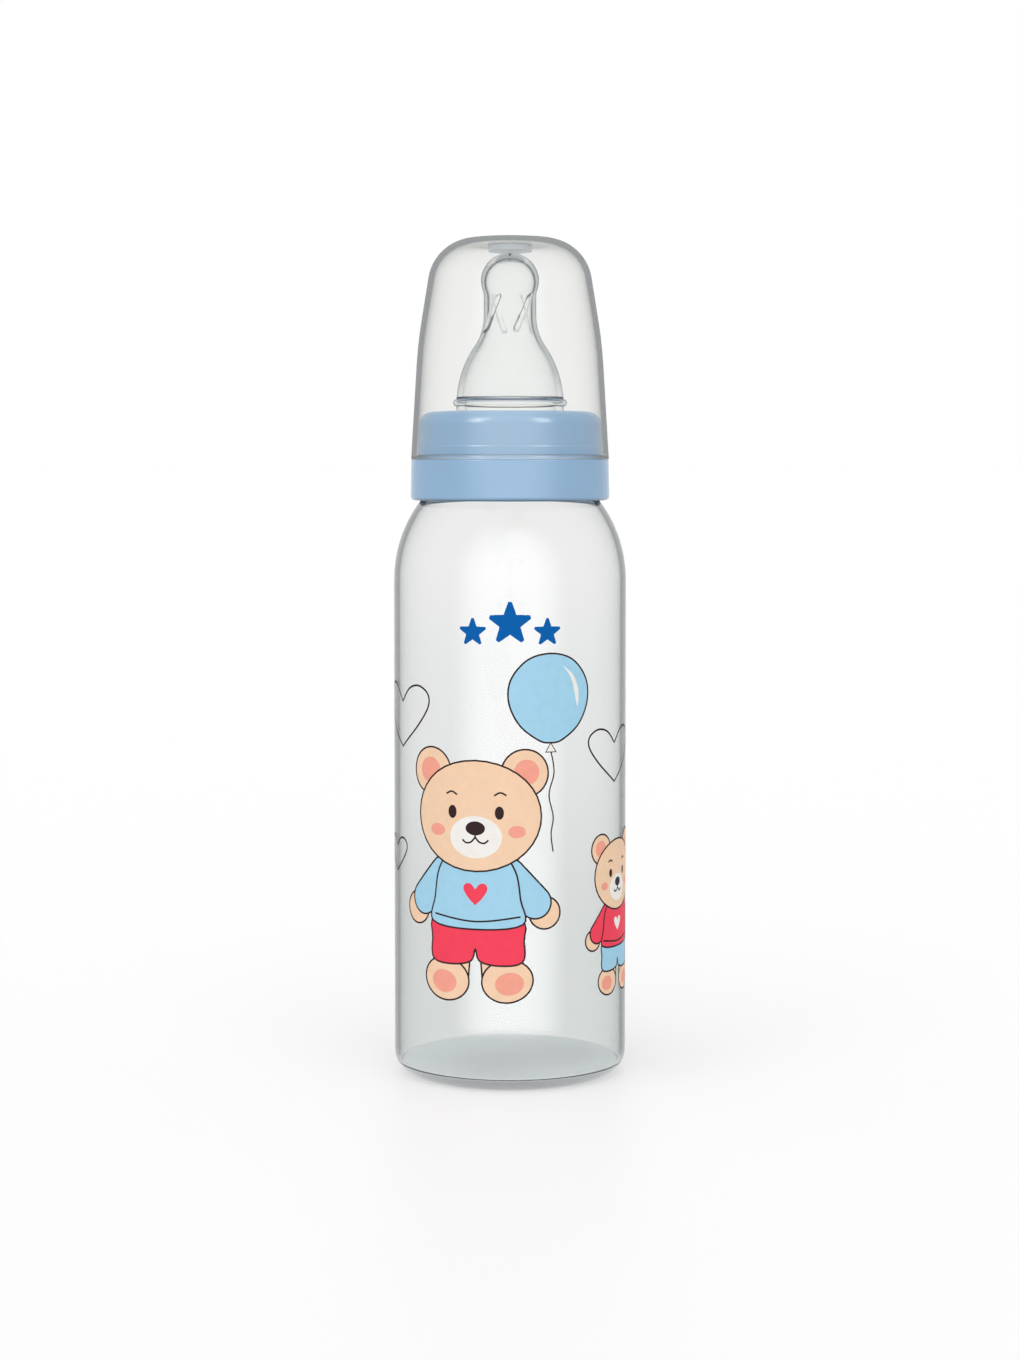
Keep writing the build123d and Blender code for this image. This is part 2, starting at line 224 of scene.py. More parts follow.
def bottle_outline():
    """The bottle's skin from the middle of its underside, up the outside and down the inside to its floor."""
    foot = BODY_RADIUS - SKIN_GAP - FOOT_CORNER
    dome_edge = BODY_RADIUS - FOOT_CORNER - FOOT_RING_WIDTH
    step_width, step_height = FOOT_STEP
    dome = [(dome_edge - step_width) * i / DOME_STEPS for i in range(DOME_STEPS + 1)]
    outer = [(radius, PUSH_UP - (PUSH_UP - step_height) * (radius / dome[-1]) ** 2) for radius in dome]
    outer += [(dome_edge, 0), (foot, 0)]
    outer += arc((foot, FOOT_CORNER), FOOT_CORNER, -90, 0)[1:]
    upper = shoulder(SKIN_GAP, NECK_RADIUS + NECK_BEND)
    outer += held(outer[-1], upper[0]) + upper
    outer += [(NECK_RADIUS + NECK_BEND_POINT[0], outer[-1][1] + NECK_BEND_POINT[1])]
    outer += bump_out(*TRANSFER_BEAD, NECK_RADIUS)
    rim, rim_start = NECK_RADIUS - RIM_ROUNDING, RIM_HEIGHT - RIM_ROUNDING
    outer += run((NECK_RADIUS, NECK_THREADED_FROM), (NECK_RADIUS, rim_start), THREAD_STEP)
    outer += arc((rim, rim_start), RIM_ROUNDING, 0, 90)[1:]
    bore = [(rim, RIM_HEIGHT), (NECK_BORE, RIM_HEIGHT), (NECK_BORE, NECK_BORE_POINT)]
    bore = rounded(bore, [BORE_ROUNDING])[1:]
    inner = BODY_RADIUS - BODY_WALL
    floor_arc = arc((inner - FLOOR_CORNER, FLOOR_HEIGHT + FLOOR_CORNER), FLOOR_CORNER, 0, -90)
    floor = [(radius, FLOOR_HEIGHT) for radius in FLOOR_RINGS]
    lower = shoulder(BODY_WALL, NECK_BORE)[::-1]
    return outer + bore + lower + held(lower[-1], floor_arc[0]) + floor_arc + floor


def ring_outline():
    """The ring's skin from the edge of its hole, down the outside, up the bore and back through the hole."""
    plate = RING_TOP - RING_PLATE
    snap, snap_low, snap_high = RING_SNAP
    under_snap, over_snap = RING_SNAP_SLOPES
    narrow_low, narrow_high = (RING_LEDGE - depth for depth in BAND_NARROWS)
    start, end = (RING_HOLE + RING_LIP, RING_TOP), (RING_INNER_RADIUS, narrow_high)
    corners = {  # each with its rounding
        (RING_TOP_RADIUS, RING_TOP): RING_TOP_ROUNDING,
        (RING_WAIST_RADIUS, snap_high + over_snap): 0.12,
        (snap, snap_high): 0.08,
        (snap, snap_low): 0.2,
        (RING_GROOVE_RADIUS, snap_low - under_snap): 0.12,
        (RING_GROOVE_FOOT, RING_LEDGE): 0.2,
        (BAND_TOP_RADIUS, RING_LEDGE): 0.25,
        (BAND_BOTTOM_RADIUS, RING_BOTTOM): BAND_ROUNDING,
        (BAND_INNER_RADIUS, RING_BOTTOM): 0.3,
        (BAND_INNER_RADIUS, narrow_low): 0.3,
    }
    path = rounded([start, *corners, end], corners.values())
    path += run((RING_INNER_RADIUS, RING_THREADED_FROM), (RING_INNER_RADIUS, plate), THREAD_STEP)
    hole = [(RING_SEAT_RADIUS, plate), (RING_HOLE, plate), (RING_HOLE, RING_TOP), start]
    return path + rounded(hole, [0.2, RING_LIP - 0.05])


def bulb_and_neck(radius, height, neck, blend):
    """From the bulb's top down its side and round onto the neck."""
    drop = math.sqrt((radius + blend) ** 2 - (neck + blend) ** 2)
    lean = math.degrees(math.atan2(drop, neck + blend))
    side = arc((0, height), radius, 90, -lean)
    return side + arc((neck + blend, height - drop), blend, 180 - lean, 180)[1:]


def flare(wall):
    """The teat's flare from its neck down to the upright skirt, wall millimetres inside its skin."""
    drop = TEAT_SKIRT_RADIUS - TEAT_NECK_RADIUS
    lean = math.acos(1 - drop / (TEAT_FLARE_HOLLOW + TEAT_FLARE_SWELL))
    run_down = (TEAT_FLARE_HOLLOW + TEAT_FLARE_SWELL) * math.sin(lean)
    hollow = (TEAT_NECK_RADIUS + TEAT_FLARE_HOLLOW, TEAT_FLARE_TOP)
    swell = (TEAT_SKIRT_RADIUS - TEAT_FLARE_SWELL, TEAT_FLARE_TOP - run_down)
    lean = math.degrees(lean)
    upper = arc(hollow, TEAT_FLARE_HOLLOW + wall, 180, 180 + lean)
    return upper + arc(swell, TEAT_FLARE_SWELL - wall, lean, 0)[1:]


def teat_outline():
    """The teat's skin from the feed hole, down the outside, round the flange and up the inside."""
    bulb, height = TEAT_BULB
    flange, under, top = TEAT_FLANGE
    bore_low, bore_high = ((TEAT_BASE_BORE, at) for at in TEAT_BORE_POINTS)
    blend_out, blend_down = TEAT_LEDGE_BLEND
    outer = bulb_and_neck(bulb, height, TEAT_NECK_RADIUS, TEAT_BLEND) + flare(0)
    outer[0] = (FEED_HOLE_RADIUS, outer[0][1])
    outer += bump_out(*TEAT_BEAD, TEAT_SKIRT_RADIUS)[::-1]
    foot = [(TEAT_SKIRT_RADIUS, top), (flange, top), (flange, under), (TEAT_BASE_BORE, under)]
    outer += rounded([outer[-1], *foot, bore_low], [0.5, 0.3, 0.3, 0.3])[1:]
    inside = bulb - TEAT_BULB_WALL
    neck = TEAT_NECK_RADIUS - TEAT_NECK_WALL
    inner = bulb_and_neck(inside, TEAT_TIP_INSIDE - inside, neck, TEAT_INNER_BLEND)
    inner[0] = (FEED_HOLE_RADIUS, TEAT_TIP_INSIDE)
    inner += run(inner[-1], (neck, TEAT_FLARE_TOP), TEAT_RIB_STEP)[1:-1]
    inner += [p for p in flare(TEAT_NECK_WALL) if p[1] > TEAT_LEDGE_HEIGHT + blend_down]
    ledge = [(inner[-1][0] + blend_out, TEAT_LEDGE_HEIGHT), (TEAT_BASE_BORE, TEAT_LEDGE_HEIGHT)]
    inner += rounded([inner[-1], *ledge, bore_high], [0.15, 0.2])[1:]
    return outer + inner[::-1]


def hood_outline():
    """The hood's skin from the middle of its boss, down the inside, round the foot and up the outside."""

    def skin(inset):
        corners = [
            (HOOD_FOOT_RADIUS - inset, HOOD_BOTTOM),
            (HOOD_WAIST[0] - inset, HOOD_WAIST[1]),
            (HOOD_CROWN[0] - inset, HOOD_CROWN[1] - inset),
            (0, HOOD_TOP - inset),
        ]
        return rounded(corners, [HOOD_WAIST_CURVE - inset, HOOD_CROWN_CURVE - inset])

    inner = skin(HOOD_WALL)
    inside = [p for p in inner if p[0] > BOSS_RADIUS + BOSS_BLEND]
    ceiling = HOOD_TOP - HOOD_WALL
    bottom = TEAT_BULB[1] + TEAT_BULB[0] + BOSS_GAP
    boss = [(0, bottom), (BOSS_RADIUS, bottom), (BOSS_RADIUS, ceiling), (BOSS_RADIUS + 1, ceiling)]
    boss = rounded(boss, [0.2, 0.25])[:-1]
    wall = inner[0][0]
    bead = bump_in(*HOOD_BEAD, wall)
    foot = [(wall, HOOD_BEAD[1] - HOOD_BEAD[2]), (wall, HOOD_BOTTOM)]
    foot += [(HOOD_FOOT_RADIUS, HOOD_BOTTOM), (HOOD_FOOT_RADIUS, HOOD_SIDE_POINT)]
    foot = rounded(foot, [0.06, 0.15])[1:-1]
    return boss + inside[:0:-1] + bead + foot + skin(0)[1:]


# ---- turned skins -------------------------------------------------------------------------------
def thread(angle, height, crest, start, first, turns, wall):
    """How far a screw ridge stands off its wall at an angle in degrees and a height."""
    best = 0.0
    for lap in range(math.ceil(turns)):
        along = (angle - first) % 360 + 360 * lap
        if along > turns * 360:
            continue
        off = abs(height - start - THREAD_PITCH * along / 360)
        slope = (THREAD_ROOT / 2 - off) / ((THREAD_ROOT - THREAD_CREST) / 2)
        run_in = min(1, along / THREAD_RUN_IN, (turns * 360 - along) / THREAD_RUN_IN)
        best = max(best, min(1, slope) * run_in)
    return best * (crest - wall)


def bottle_shift(angle, radius, height):
    """The ridge on the outside of the neck."""
    if height >= NECK_THREADED_FROM and math.isclose(radius, NECK_RADIUS):
        return thread(angle, height, wall=NECK_RADIUS, **BOTTLE_THREAD)
    return 0.0


def ring_shift(angle, radius, height):
    """The ridge on the inside of the ring, under its plate."""
    under_plate = RING_TOP - RING_PLATE - THREAD_STEP / 2
    if RING_THREADED_FROM <= height < under_plate and math.isclose(radius, RING_INNER_RADIUS):
        return thread(angle, height, wall=RING_INNER_RADIUS, **RING_THREAD)
    return 0.0


def teat_shift(angle, radius, height):
    """The slanted ribs that stand in from the inside of the teat's neck."""
    ribs = TEAT_RIBS
    low, high = ribs["low"] - TEAT_RIB_MARGIN, ribs["high"] + TEAT_RIB_MARGIN
    if radius > TEAT_MID_WALL or not low < height < high:
        return 0.0
    along = (height - ribs["low"]) / (ribs["high"] - ribs["low"])
    middle = ribs["first"] + ribs["sweep"] * along
    spacing = 360 / ribs["count"]
    apart = (angle - middle + spacing / 2) % spacing - spacing / 2
    lean = math.radians(ribs["sweep"]) * radius / (ribs["high"] - ribs["low"])
    across = abs(math.radians(apart)) * radius * math.cos(math.atan(lean))
    past = max(0, ribs["low"] - height, height - ribs["high"])
    edge = (ribs["width"] / 2 - math.hypot(across, past)) / ribs["slope"]
    return -ribs["depth"] * min(1, max(0, edge))


def turned(name, outline, shift=None):
    """A closed skin turned from an outline. An outline that starts and ends on the axis is closed there.

    shift, if given, says how far a point moves out, from its angle in degrees, its radius and its height.
    """
    mesh = bmesh.new()
    rings = []
    for radius, height in outline:
        if radius < 1e-6:
            rings.append([mesh.verts.new((0, 0, height * MM))])
            continue
        ring = []
        for i in range(SEGMENTS):
            angle = 360 * i / SEGMENTS
            at = radius + (shift(angle, radius, height) if shift else 0)
            a = math.radians(angle)
            ring.append(mesh.verts.new((at * MM * math.cos(a), at * MM * math.sin(a), height * MM)))
        rings.append(ring)
    pairs = list(zip(rings, rings[1:]))
    if len(rings[0]) > 1:
        pairs.append((rings[-1], rings[0]))
    for low, high in pairs:
        for i in range(SEGMENTS):
            j = (i + 1) % SEGMENTS
            corners = [low[i % len(low)], low[j % len(low)], high[j % len(high)], high[i % len(high)]]
            mesh.faces.new(list(dict.fromkeys(corners)))
    bmesh.ops.remove_doubles(mesh, verts=mesh.verts, dist=1e-7)
    bmesh.ops.recalc_face_normals(mesh, faces=mesh.faces)
    data = bpy.data.meshes.new(name)
    mesh.to_mesh(data)
    mesh.free()
    data.shade_smooth()
    data.set_sharp_from_angle(angle=math.radians(SHARP_FROM))
    piece = bpy.data.objects.new(name, data)
    bpy.context.collection.objects.link(piece)
    return piece


# ---- materials ----------------------------------------------------------------------------------
def srgb(red, green, blue):
    """A linear colour from display values of 0 to 255."""
    parts = [c / 255 for c in (red, green, blue)]
    return (*[c / 12.92 if c <= 0.04045 else ((c + 0.055) / 1.055) ** 2.4 for c in parts], 1)


class Tree:
    """A short way to write a node tree."""

    def __init__(self, name):
        self.material = bpy.data.materials.new(name)
        self.material.use_nodes = True
        self.nodes = self.material.node_tree.nodes
        self.nodes.clear()

    def add(self, kind, settings=None, **inputs):
        """A node. Its sockets are named with _ for a space, or i and a number."""
        node = self.nodes.new(f"ShaderNode{kind}")
        for key, value in (settings or {}).items():
            setattr(node, key, value)
        for key, value in inputs.items():
            self.set(node, key.replace("_", " ") if not key[-1].isdigit() else int(key[1:]), value)
        return node

    def set(self, node, key, value):
        socket = node.inputs[key]
        if isinstance(value, bpy.types.NodeSocket):
            self.material.node_tree.links.new(value, socket)
        else:
            socket.default_value = value

    def place(self):
        """The place on the object, in metres."""
        return self.add("TexCoord").outputs["Object"]

    def height(self):
        """The height over the table at rest, in metres."""
        return self.add("SeparateXYZ", Vector=self.place()).outputs["Z"]

    def ranged(self, value, ends, results, kind="LINEAR"):
        """A value mapped from ends to results, and held beyond them."""
        node = self.add("MapRange", {"interpolation_type": kind}, Value=value)
        for key, number in zip(("From Min", "From Max", "To Min", "To Max"), (*ends, *results)):
            node.inputs[key].default_value = number
        return node.outputs["Result"]

    def noise(self, scale, low, high, detail=3.0):
        """A noise over the object's own space, mapped from low to high."""
        noise = self.add("TexNoise", Vector=self.place(), Scale=scale, Detail=detail).outputs["Fac"]
        return self.ranged(noise, (0.3, 0.7), (low, high))

    def blend(self, share, first, second):
        """A mix of two colours."""
        mix = self.add("Mix", {"data_type": "RGBA"}, i0=share, i6=first, i7=second)
        return mix.outputs[2]

    def bump(self, scale, height):
        """A bump of a height in metres."""
        noise = self.add("TexNoise", Vector=self.place(), Scale=scale, Detail=2.0).outputs["Fac"]
        return self.add("Bump", Strength=1.0, Distance=height, Height=noise).outputs["Normal"]

    def graded(self, stops):
        """A colour that changes with height, from stops of height in millimetres and colour, lowest first."""
        low, colour = stops[0]
        for high, next_colour in stops[1:]:
            share = self.ranged(self.height(), (low * MM, high * MM), (0, 1), "SMOOTHSTEP")
            colour = self.blend(share, colour, next_colour)
            low = high
        return colour

    def finish(self, surface):
        self.add("OutputMaterial", Surface=surface)
        return self.material


PLASTIC_IOR = 1.49
SILICONE_IOR = 1.41
SILICONE_MIRROR = (0.35, 0.35, 0.35, 1)
EDGE_FACING = (0.3, 0.38)  # Layer Weight's Facing, where the painted shade of an edge gives way to the inside colour


def shaded(colour, share):
    """An opaque colour made darker or lighter."""
    return [min(1, part * share) for part in colour[:3]] + [1]


def clear_material(name, ior, glass, mirror, inside, haze, wave, edge=None, shade=0.985, milky=None):
    """Clear plastic that bends light, in a white room.

    glass is what each face lets through, and inside what its inner faces give back: a dark tint, painted
    shade that stands in for a dark room mirrored there and draws the grey rims.
    Both are stops of height and colour. mirror is what its outside gives back. edge, if given, is what
    the inner faces give back where light only just fails to get out, a darker painted shade that draws dark
    outlines.
    haze is the roughness, wave the scale and height of the slight waviness, and shade what each face lets
    through of the light for shadows and matt surfaces. milky is a share of cloudy plastic, its colour from
    outside and its colour from within.
    """
    tree = Tree(name)
    rough = tree.noise(90, haze * 0.6, haze * 1.4)
    normal = tree.bump(*wave)
    through = tree.add("BsdfRefraction", Color=tree.graded(glass), Roughness=rough, IOR=ior, Normal=normal)
    # the inner faces give back painted shade, a dark room mirrored in a white one, and edge darker painted
    # outlines
    painted_inner_shade = tree.graded(inside)
    if edge:
        facing = tree.add("LayerWeight", Blend=0.5).outputs["Facing"]
        past_edge = tree.ranged(facing, EDGE_FACING, (0, 1), "SMOOTHSTEP")
        painted_inner_shade = tree.blend(past_edge, tree.graded(edge), painted_inner_shade)
    back = tree.add("NewGeometry").outputs["Backfacing"]
    colour = tree.blend(back, mirror, painted_inner_shade)
    gloss = tree.add("BsdfGlossy", Color=colour, Roughness=rough, Normal=normal)
    share = tree.add("Fresnel", IOR=ior, Normal=normal).outputs[0]
    plastic = tree.add("MixShader", i0=share, i1=through.outputs[0], i2=gloss.outputs[0]).outputs[0]
    if milky:
        cloudy_share, from_outside, from_within = milky
        cloudy = tree.add("BsdfDiffuse", Color=tree.blend(back, from_outside, from_within), Normal=normal)
        plastic = tree.add("MixShader", i0=cloudy_share, i1=plastic, i2=cloudy.outputs[0]).outputs[0]
    rays = tree.add("LightPath").outputs
    open_way = tree.add("BsdfTransparent", Color=(shade, shade, shade, 1)).outputs[0]
    for light_that_passes in ("Is Diffuse Ray", "Is Shadow Ray"):
        plastic = tree.add("MixShader", i0=rays[light_that_passes], i1=plastic, i2=open_way).outputs[0]
    return tree.finish(plastic)


def frosted_material(name, colour, clear, rough):
    """Plastic with a fine matt texture that lets some light through."""
    tree = Tree(name)
    tone = tree.blend(tree.noise(500, 0.0, 1.0), shaded(colour, 0.96), colour)
    shader = tree.add("BsdfPrincipled", Base_Color=tone, Roughness=tree.noise(900, rough * 0.8, rough * 1.2))
    shader.inputs["Transmission Weight"].default_value = clear
    shader.inputs["IOR"].default_value = PLASTIC_IOR
    tree.set(shader, "Normal", tree.bump(3000, 4e-6))
    return tree.finish(shader.outputs[0])


PAINTED_SHADE_EDGE = (0.1, 0.7, 0.35)  # heights over the ring's bottom between which its painted shade along the lower edge ends, and how dark that shade is


def moulded_material(name, colour, rough, grain):
    """Opaque moulded plastic with a faint clouding, a fine tool texture and painted shade that darkens its
    lower edge.
    """
    tree = Tree(name)
    tone = tree.blend(tree.noise(60, 0.0, 1.0, 1.0), shaded(colour, 0.985), shaded(colour, 1.015))
    # painted shade: the colour is made darker at the ring's lower edge, as shade under it
    low, high, painted_edge_shade = PAINTED_SHADE_EDGE
    ends = ((RING_BOTTOM + low) * MM, (RING_BOTTOM + high) * MM)
    over_painted_shade = tree.ranged(tree.height(), ends, (0, 1), "SMOOTHSTEP")
    tone = tree.blend(over_painted_shade, shaded(colour, painted_edge_shade), tone)
    shader = tree.add("BsdfPrincipled", Base_Color=tone, Roughness=tree.noise(120, rough * 0.9, rough * 1.1))
    shader.inputs["Specular IOR Level"].default_value = 0.25
    tree.set(shader, "Normal", tree.bump(700, grain))
    return tree.finish(shader.outputs[0])


def ink_material(name, colour):
    """Screen-printed ink: almost flat, with the slight mottle of a squeegee."""
    tree = Tree(name)
    tone = tree.blend(tree.noise(500, 0.0, 1.0, 4.0), shaded(colour, 0.97), shaded(colour, 1.02))
    shader = tree.add("BsdfPrincipled", Base_Color=tone, Roughness=tree.noise(700, 0.4, 0.5))
    shader.inputs["Specular IOR Level"].default_value = 0.03
    return tree.finish(shader.outputs[0])


# ---- the four pieces ------------------------------------------------------------------------------
def bottle_look():
    return clear_material(
        "clear_polypropylene",
        PLASTIC_IOR,
        # the walls let less through low down: painted shade, darker towards the bottom
        glass=[
            (28, (0.918, 0.927, 0.924, 1)),
            (85, (0.957, 0.961, 0.959, 1)),
            (125, (0.975, 0.976, 0.974, 1)),
        ],
        mirror=(0.85, 0.86, 0.86, 1),
        # inside: painted shade for the grey rims, lighter near the floor
        inside=[(3, (0.5, 0.52, 0.53, 1)), (7, (0.27, 0.29, 0.305, 1))],
        haze=0.02,
        wave=(55, 4e-6),
        shade=0.95,
    )


def ring_look():
    return moulded_material("ring_polypropylene", (0.262, 0.42, 0.602, 1), 0.2, 1e-6)


def teat_look():
    return clear_material(
        "silicone_rubber",
        SILICONE_IOR,
        glass=[(0, (0.988, 0.992, 0.992, 1))],
        mirror=SILICONE_MIRROR,
        # inside and edge: painted shade for the teat's grey rims and dark outlines
        inside=[
            (158.5, (0.96, 0.97, 0.97, 1)),
            (162, (0.82, 0.85, 0.86, 1)),
            (176, (0.66, 0.69, 0.7, 1)),
            (188, (0.66, 0.69, 0.7, 1)),
            (190, (0.93, 0.94, 0.94, 1)),
        ],
        edge=[
            (158.5, (0.92, 0.94, 0.95, 1)),
            (165, (0.62, 0.64, 0.65, 1)),
            (176, (0.14, 0.15, 0.16, 1)),
            (188, (0.1, 0.11, 0.12, 1)),
            (190, (0.45, 0.47, 0.48, 1)),
        ],
        haze=0.02,
        wave=(160, 3e-6),
    )


def hood_look():
    return clear_material(
        "hood_polypropylene",
        PLASTIC_IOR,
        glass=[(0, (0.987, 0.988, 0.982, 1))],
        mirror=(0.5, 0.5, 0.5, 1),
        # inside: painted shade for the hood's grey rims, much lighter at its foot
        inside=[(HOOD_BEAD[1], (0.9, 0.93, 0.95, 1)), (145.2, (0.34, 0.36, 0.37, 1))],
        haze=0.012,
        wave=(70, 3e-6),
        shade=0.995,
    )


def put_in_frame(piece, node, body, look):
    """Gives a piece its material, and says which CAD node it replaces and which body it rides."""
    piece.data.materials.append(look)
    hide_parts(node)
    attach(piece, body)


def make_pieces():
    """The four turned pieces. Returns the ring, which the studio lights on its own."""
    bottle = turned("bottle_shell", bottle_outline(), bottle_shift)
    put_in_frame(bottle, "bottle_body", "bottle", bottle_look())
    ring = turned("screw_ring_shell", ring_outline(), ring_shift)
    put_in_frame(ring, "screw_ring", "ring", ring_look())
    teat = turned("teat_skin", teat_outline(), teat_shift)
    put_in_frame(teat, "teat", "teat", teat_look())
    hood = turned("hood_shell", hood_outline())
    put_in_frame(hood, "hood_cap", "hood", hood_look())
    mark_teat(teat)
    frost_boss(hood)
    cloud_floor(bottle)
    return ring


RIB_SIDE = 0.75  # a face of a rib's side, painted darker as shade, looks outwards or inwards by less than this


def mark_teat(teat):
    """The cut sides of the feed hole are rough and painted darker, as shade inside the hole, and the steep
    sides of the ribs are painted darker, as shade that draws their outlines.
    """
    looks = {"feed_hole_shade": (0.6, 0.2), "rib_side_shade": (0.72, 0.3)}
    for name, (through, painted_inner_shade) in looks.items():
        teat.data.materials.append(
            clear_material(
                name,
                SILICONE_IOR,
                glass=[(0, (through, through + 0.01, through + 0.02, 1))],
                mirror=SILICONE_MIRROR,
                inside=[(0, (painted_inner_shade, painted_inner_shade + 0.01, painted_inner_shade + 0.02, 1))],
                haze=0.1,
                wave=(900, 4e-6),
            )
        )
    hole_edge = (FEED_HOLE_RADIUS + 0.05) * MM
    low = (TEAT_RIBS["low"] - TEAT_RIB_MARGIN) * MM
    high = (TEAT_RIBS["high"] + TEAT_RIB_MARGIN) * MM
    for face in teat.data.polygons:
        across = Vector((face.center.x, face.center.y, 0))
        if across.length < hole_edge:
            face.material_index = 1
        elif low < face.center.z < high and across.length < TEAT_MID_WALL * MM:
            if abs(face.normal.dot(across.normalized())) < RIB_SIDE:
                face.material_index = 2


def frost_boss(hood):
    """The boss under the crown is matt."""
    hood.data.materials.append(frosted_material("hood_boss_frost", srgb(206, 212, 216), 0.2, 0.4))
    ceiling = (HOOD_TOP - HOOD_WALL - 0.1) * MM
    for face in hood.data.polygons:
        middle = face.center
        if middle.z < ceiling and math.hypot(middle.x, middle.y) < (BOSS_RADIUS + 0.1) * MM:
            face.material_index = 1


def cloud_floor(bottle):
    """The bottle's thick floor cools slowly and comes out hazy, and it stands on a matt underside."""
    looks = {
        "hazy_floor": (0.97, (0.84, 0.9, 0.905, 1), (0.7, 0.725, 0.745, 1)),
        "matt_underside": (0.9, (0.66, 0.68, 0.69, 1), (0.6, 0.62, 0.635, 1)),
    }
    for name, milky in looks.items():
        bottle.data.materials.append(
            clear_material(
                name,
                PLASTIC_IOR,
                glass=[(0, (0.92, 0.94, 0.94, 1))],
                mirror=(0.85, 0.86, 0.86, 1),
                # inside: painted shade for the grey rims
                inside=[(0, (0.6, 0.63, 0.64, 1))],
                haze=0.3,
                wave=(60, 2e-6),
                shade=0.88,
                milky=milky,
            )
        )
    nearly_flat = 0.9
    for face in bottle.data.polygons:
        height, up = face.center.z, face.normal.z
        if abs(height - FLOOR_HEIGHT * MM) < 0.05 * MM and abs(up) > nearly_flat:
            face.material_index = 1
        elif height < PUSH_UP * MM and up < -nearly_flat:
            face.material_index = 2


# ---- printed decoration ---------------------------------------------------------------------------
INK = {
    "tan": srgb(238, 203, 172),
    "light_blue": srgb(160, 206, 229),
    "red": srgb(238, 70, 92),
    "cream": srgb(236, 233, 228),
    "blush": srgb(238, 160, 140),
    "navy": srgb(11, 92, 165),
    "line": srgb(52, 38, 40),
}
INK_CLEARANCE = 0.003  # between the bottle's skin and the first ink
INK_ON = BODY_RADIUS - SKIN_GAP + INK_CLEARANCE
INK_LAYER = 0.0035  # from one layer of ink to the next
INK_THICK = 0.003
INK_STEP = 0.6  # widest flat strip of ink on the round body
LINE_WIDTH = 0.4
OVAL_POINTS = 36
films = {colour: [] for colour in INK}  # for each colour, its shapes as (layer, list of outlines)


def oval(centre, across, up, tilt=0.0):
    """A closed ellipse. across and up are half widths, and tilt is in degrees."""
    lean = math.radians(tilt)
    out = []
    for i in range(OVAL_POINTS):
        a = 2 * math.pi * i / OVAL_POINTS
        x, z = across * math.cos(a), up * math.sin(a)
        turned_x = x * math.cos(lean) - z * math.sin(lean)
        turned_z = x * math.sin(lean) + z * math.cos(lean)
        out.append((centre[0] + turned_x, centre[1] + turned_z))
    return out


def flowing(corners, closed=True, steps=8):
    """A smooth curve through a few points, with a number of steps from each to the next."""
    count = len(corners)
    out = []
    for i in range(count if closed else count - 1):
        if closed:
            a, b, c, d = (Vector(corners[(i + k) % count]) for k in (-1, 0, 1, 2))
        else:
            a, b, c, d = (Vector(corners[min(max(i + k, 0), count - 1)]) for k in (-1, 0, 1, 2))
        for k in range(steps):
            t = k / steps
            point = b * 2 + (c - a) * t + (a * 2 - b * 5 + c * 4 - d) * t**2 + (b * 3 - a - c * 3 + d) * t**3
            out.append(tuple(point / 2))
    if not closed:
        out.append(tuple(corners[-1]))
    return out


def heart(centre, width, height):
    """A closed heart outline."""
    half = [(0, 0.22), (0.16, 0.44), (0.34, 0.5), (0.49, 0.38), (0.49, 0.16), (0.3, -0.17), (0, -0.5)]
    right = flowing(half, closed=False)
    shape = right + [(-x, z) for x, z in right[-2:0:-1]]
    return [(centre[0] + x * width, centre[1] + z * height) for x, z in shape]


def star(centre, radius):
    """A plain star of five points with blunted tips."""
    blunt, inner = 0.95 * radius, 0.48 * radius
    out = []
    for i in range(5):
        tip = 90 + 72 * i
        for angle, reach in ((tip - 5, blunt), (tip + 5, blunt), (tip + 36, inner)):
            a = math.radians(angle)
            out.append((centre[0] + reach * math.cos(a), centre[1] + reach * math.sin(a)))
    return out


def capsule(start, end, first, last):
    """A closed limb of round ends, first and last their radii."""
    a, b = Vector(start), Vector(end)
    heading = math.degrees(math.atan2(b.y - a.y, b.x - a.x))
    return [*arc(a, first, heading + 90, heading + 270), *arc(b, last, heading - 90, heading + 90)]


def fill(colour, layer, shape):
    """A filled shape. Layers are counted out from the bottle."""
    films[colour].append((layer, [shape]))


def line(layer, path, closed=True, width=LINE_WIDTH):
    """A drawn line along a path, as a strip of four-sided faces."""
    count = len(path)
    sides = []
    for i, point in enumerate(path):
        before = Vector(path[i - 1 if closed else max(i - 1, 0)])
        after = Vector(path[(i + 1) % count if closed else min(i + 1, count - 1)])
        along = (after - before).normalized()
        off = Vector((-along.y, along.x)) * width / 2
        sides.append((tuple(Vector(point) + off), tuple(Vector(point) - off)))
    pairs = list(zip(sides, sides[1:] + sides[:1])) if closed else list(zip(sides, sides[1:]))
    films["line"].append((layer, [[a[0], a[1], b[1], b[0]] for a, b in pairs]))


def inked(colour, layer, shape):
    """A filled shape with a line round it."""
    fill(colour, layer, shape)
    line(layer + 1, shape)


